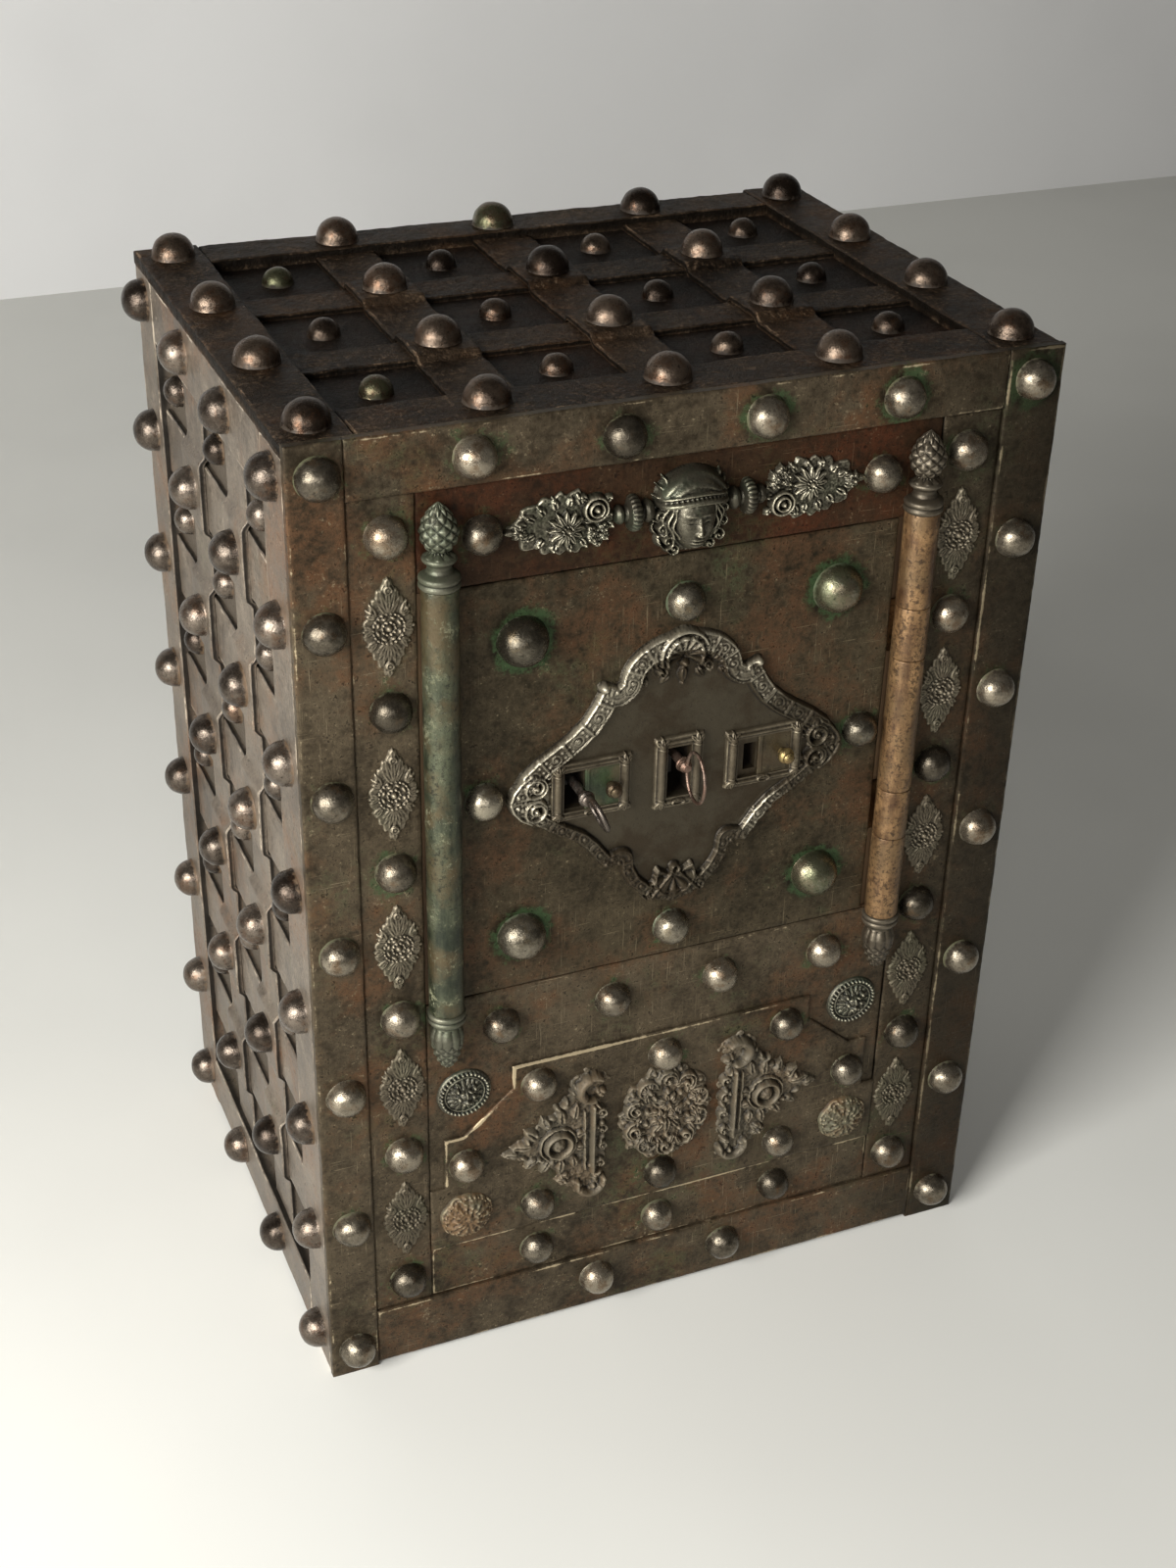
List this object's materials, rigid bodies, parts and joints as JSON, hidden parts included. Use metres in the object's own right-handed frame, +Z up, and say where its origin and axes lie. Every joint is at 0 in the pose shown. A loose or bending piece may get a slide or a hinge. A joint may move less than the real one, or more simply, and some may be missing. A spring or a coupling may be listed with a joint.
{
  "type": "iron safe",
  "caption": "Upright oak safe clad in interlaced iron straps with domed nail heads, a hinged door on a round column, a lock cartouche with shuttered windows, two keys and sliding bolts.",
  "frame": {"origin": "on the floor, under the middle of the body", "axes": "+Z up, -Y out of the front with the door, +X to the right as seen from the front"},
  "size_m": [0.605, 0.497, 0.8175],
  "materials": {
    "oak": "dry, unvarnished oak",
    "lining_sheet": "dull oiled sheet",
    "sheet_iron": "black, rough and rusted",
    "strap_iron": "forged, worn bright along the edges",
    "nail_steel": "polished by handling, dented",
    "front_iron": "brown patina with green stains",
    "rust_plate": "reddish brown",
    "cast_ornament": "grey-green cast relief",
    "old_bronze": "dark green-brown bronze",
    "copper_brown": "mottled copper brown",
    "lock_steel": "scratched steel",
    "green_paint": "dark green",
    "yellow_brass": "dull yellow brass"
  },
  "bodies": {
    "carcass": {"oak_left": "oak", "oak_right": "oak", "oak_top": "oak", "oak_bottom": "oak", "oak_back": "oak", "front_stile_left": "oak", "front_stile_right": "oak", "front_rail_top": "oak", "front_rail_bottom": "oak", "inner_lining": "lining_sheet", "shelf": "lining_sheet", "shelf_ledges": "lining_sheet", "iron_cladding": "sheet_iron", "foot_pads": "sheet_iron", "left_border_bars": "strap_iron", "left_straps": "strap_iron", "right_border_bars": "strap_iron", "right_straps": "strap_iron", "top_border_bars": "strap_iron", "top_straps": "strap_iron", "back_border_bars": "strap_iron", "back_straps": "strap_iron", "nails_left": "nail_steel", "nails_right": "nail_steel", "nails_top": "nail_steel", "nails_back": "nail_steel", "nails_front": "nail_steel", "front_bars": "front_iron", "rosette_strip_left": "front_iron", "rosette_strip_right": "front_iron", "head_strip": "rust_plate", "apron_plate": "front_iron", "plaque": "front_iron", "low_strap": "front_iron", "rosettes": "cast_ornament", "round_bosses": "cast_ornament", "rocaille_mounts": "cast_ornament", "wreath_mount": "cast_ornament", "head_mount": "old_bronze", "flower_sprays": "cast_ornament", "balusters": "old_bronze", "column_left": "old_bronze", "finials_left": "old_bronze", "finials_right": "old_bronze", "frame_knuckles": "copper_brown", "hinge_pin": "lock_steel"},
    "door": {"door_knuckles": "copper_brown", "door_plate": "front_iron", "door_core": "oak", "door_back_plate": "lining_sheet", "nails_door": "nail_steel", "cartouche": "cast_ornament", "window_frames": "cast_ornament", "lock_case": "lock_steel"},
    "shutter_left": {"shutter_left": "green_paint"},
    "shutter_right": {"shutter_right": "yellow_brass"},
    "main_bolts": {"main_bolts": "lock_steel"},
    "second_bolt": {"second_bolt": "lock_steel"},
    "key_left": {"key_left": "lock_steel"},
    "key_middle": {"key_middle": "copper_brown"}
  },
  "joints": [
    {"name": "door_hinge", "type": "hinge", "parent": "carcass", "child": "door", "pos_m": [0.179, -0.214, 0.5175], "axis": [0, 0, 1], "range_deg": [0, 110]},
    {"name": "main_bolts_slide", "type": "slide", "parent": "door", "child": "main_bolts", "axis": [-1, 0, 0], "range_m": [0, 0.024]},
    {"name": "second_bolt_slide", "type": "slide", "parent": "door", "child": "second_bolt", "axis": [-1, 0, 0], "range_m": [0, 0.022]},
    {"name": "key_left_turn", "type": "hinge", "parent": "door", "child": "key_left", "pos_m": [-0.084, -0.2, 0.515], "axis": [0, -1, 0], "range_deg": [0, 100]},
    {"name": "key_middle_turn", "type": "hinge", "parent": "door", "child": "key_middle", "pos_m": [-0.004, -0.2, 0.521], "axis": [0, -1, 0], "range_deg": [0, 100]},
    {"name": "shutter_left_slide", "type": "slide", "parent": "door", "child": "shutter_left", "axis": [1, 0, 0], "range_m": [-0.0035, 0.0025]},
    {"name": "shutter_right_slide", "type": "slide", "parent": "door", "child": "shutter_right", "axis": [1, 0, 0], "range_m": [-0.02, 0.0025]}
  ],
  "couplings": [
    {"joint": "key_left_turn", "follows": "main_bolts_slide", "rad_per_m": 72},
    {"joint": "key_middle_turn", "follows": "second_bolt_slide", "rad_per_m": 78}
  ]
}
